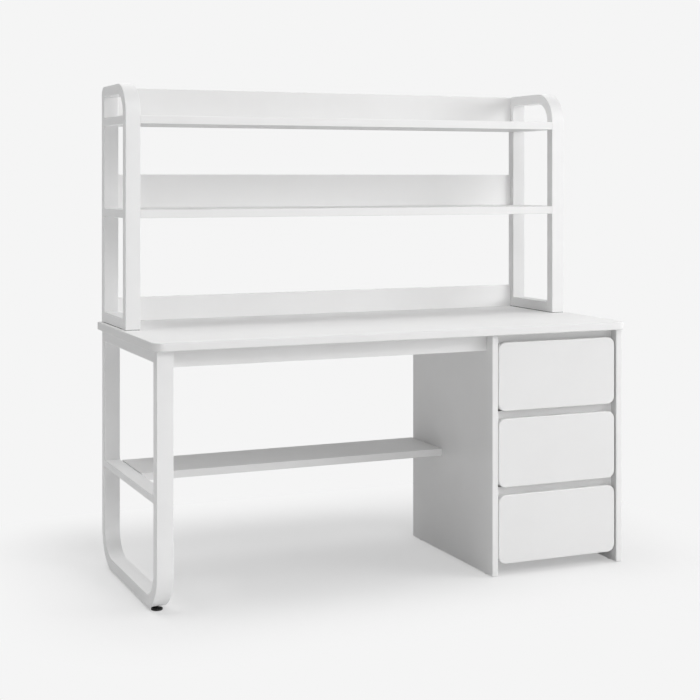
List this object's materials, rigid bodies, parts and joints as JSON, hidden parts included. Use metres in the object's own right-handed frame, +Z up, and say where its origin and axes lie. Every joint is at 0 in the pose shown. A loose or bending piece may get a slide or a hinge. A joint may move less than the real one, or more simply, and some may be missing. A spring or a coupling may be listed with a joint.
{
  "type": "student desk with hutch",
  "caption": "White study desk: rounded desktop on a bent-tube leg frame and a handle-less drawer pedestal, with a footrest board and a tube-framed shelf hutch.",
  "frame": {"origin": "on the floor under the middle of the desktop's outline", "axes": "+X to the right along the desktop's length as seen from the seat, +Y from the seat towards the hutch, +Z up"},
  "size_m": [1.5, 0.624, 1.458],
  "materials": {
    "lacquered_board": "satin white lacquer",
    "coated_tube": "white powder coat",
    "drawer_box_board": "matt white foil",
    "slide_steel": "zinc plated",
    "fastener_steel": "zinc plated",
    "foot_plastic": "matt black",
    "glide_plastic": "matt white",
    "pad_rubber": "matt black",
    "dowel_wood": "raw beech"
  },
  "bodies": {
    "desk": {"bottom_drawer_cabinet_members": "slide_steel", "desktop": "lacquered_board", "dowel_pins": "dowel_wood", "footrest_board": "lacquered_board", "front_apron": "lacquered_board", "hutch_bolts": "fastener_steel", "hutch_left_base_rail": "coated_tube", "hutch_left_front_tube": "coated_tube", "hutch_left_lower_crossbar": "coated_tube", "hutch_left_rear_post": "coated_tube", "hutch_left_upper_crossbar": "coated_tube", "hutch_pads": "pad_rubber", "hutch_right_base_rail": "coated_tube", "hutch_right_front_tube": "coated_tube", "hutch_right_lower_crossbar": "coated_tube", "hutch_right_rear_post": "coated_tube", "hutch_right_upper_crossbar": "coated_tube", "leg_cross_rail": "coated_tube", "leg_foot_nuts": "fastener_steel", "leg_hoop_tube": "coated_tube", "leg_rail_screws": "fastener_steel", "leg_top_rail": "coated_tube", "lower_back_panel": "lacquered_board", "lower_finger_rail": "lacquered_board", "lower_shelf": "lacquered_board", "middle_back_panel": "lacquered_board", "middle_drawer_cabinet_members": "slide_steel", "middle_finger_rail": "lacquered_board", "pedestal_back_panel": "lacquered_board", "pedestal_glides": "glide_plastic", "pedestal_left_panel": "lacquered_board", "pedestal_right_panel": "lacquered_board", "top_drawer_cabinet_members": "slide_steel", "upper_back_panel": "lacquered_board", "upper_finger_rail": "lacquered_board", "upper_shelf": "lacquered_board"},
    "top_drawer": {"top_drawer_front": "lacquered_board", "top_drawer_left_side": "drawer_box_board", "top_drawer_right_side": "drawer_box_board", "top_drawer_back": "drawer_box_board", "top_drawer_bottom": "drawer_box_board", "top_drawer_drawer_members": "slide_steel"},
    "top_drawer_slide": {"top_drawer_intermediate_members": "slide_steel"},
    "middle_drawer": {"middle_drawer_front": "lacquered_board", "middle_drawer_left_side": "drawer_box_board", "middle_drawer_right_side": "drawer_box_board", "middle_drawer_back": "drawer_box_board", "middle_drawer_bottom": "drawer_box_board", "middle_drawer_drawer_members": "slide_steel"},
    "middle_drawer_slide": {"middle_drawer_intermediate_members": "slide_steel"},
    "bottom_drawer": {"bottom_drawer_front": "lacquered_board", "bottom_drawer_left_side": "drawer_box_board", "bottom_drawer_right_side": "drawer_box_board", "bottom_drawer_back": "drawer_box_board", "bottom_drawer_bottom": "drawer_box_board", "bottom_drawer_drawer_members": "slide_steel"},
    "bottom_drawer_slide": {"bottom_drawer_intermediate_members": "slide_steel"},
    "front_foot": {"front_foot": "foot_plastic"},
    "rear_foot": {"rear_foot": "foot_plastic"}
  },
  "joints": [
    {"name": "top_drawer_pull", "type": "slide", "parent": "desk", "child": "top_drawer", "axis": [0, -1, 0], "range_m": [0, 0.44]},
    {"name": "top_drawer_slide_travel", "type": "slide", "parent": "desk", "child": "top_drawer_slide", "axis": [0, -1, 0], "range_m": [0, 0.22]},
    {"name": "middle_drawer_pull", "type": "slide", "parent": "desk", "child": "middle_drawer", "axis": [0, -1, 0], "range_m": [0, 0.44]},
    {"name": "middle_drawer_slide_travel", "type": "slide", "parent": "desk", "child": "middle_drawer_slide", "axis": [0, -1, 0], "range_m": [0, 0.22]},
    {"name": "bottom_drawer_pull", "type": "slide", "parent": "desk", "child": "bottom_drawer", "axis": [0, -1, 0], "range_m": [0, 0.44]},
    {"name": "bottom_drawer_slide_travel", "type": "slide", "parent": "desk", "child": "bottom_drawer_slide", "axis": [0, -1, 0], "range_m": [0, 0.22]},
    {"name": "front_foot_screw", "type": "slide", "parent": "desk", "child": "front_foot", "axis": [0, 0, -1], "range_m": [0, 0.01]},
    {"name": "rear_foot_screw", "type": "slide", "parent": "desk", "child": "rear_foot", "axis": [0, 0, -1], "range_m": [0, 0.01]}
  ],
  "couplings": [
    {"joint": "top_drawer_slide_travel", "follows": "top_drawer_pull", "ratio": 0.5},
    {"joint": "middle_drawer_slide_travel", "follows": "middle_drawer_pull", "ratio": 0.5},
    {"joint": "bottom_drawer_slide_travel", "follows": "bottom_drawer_pull", "ratio": 0.5}
  ]
}
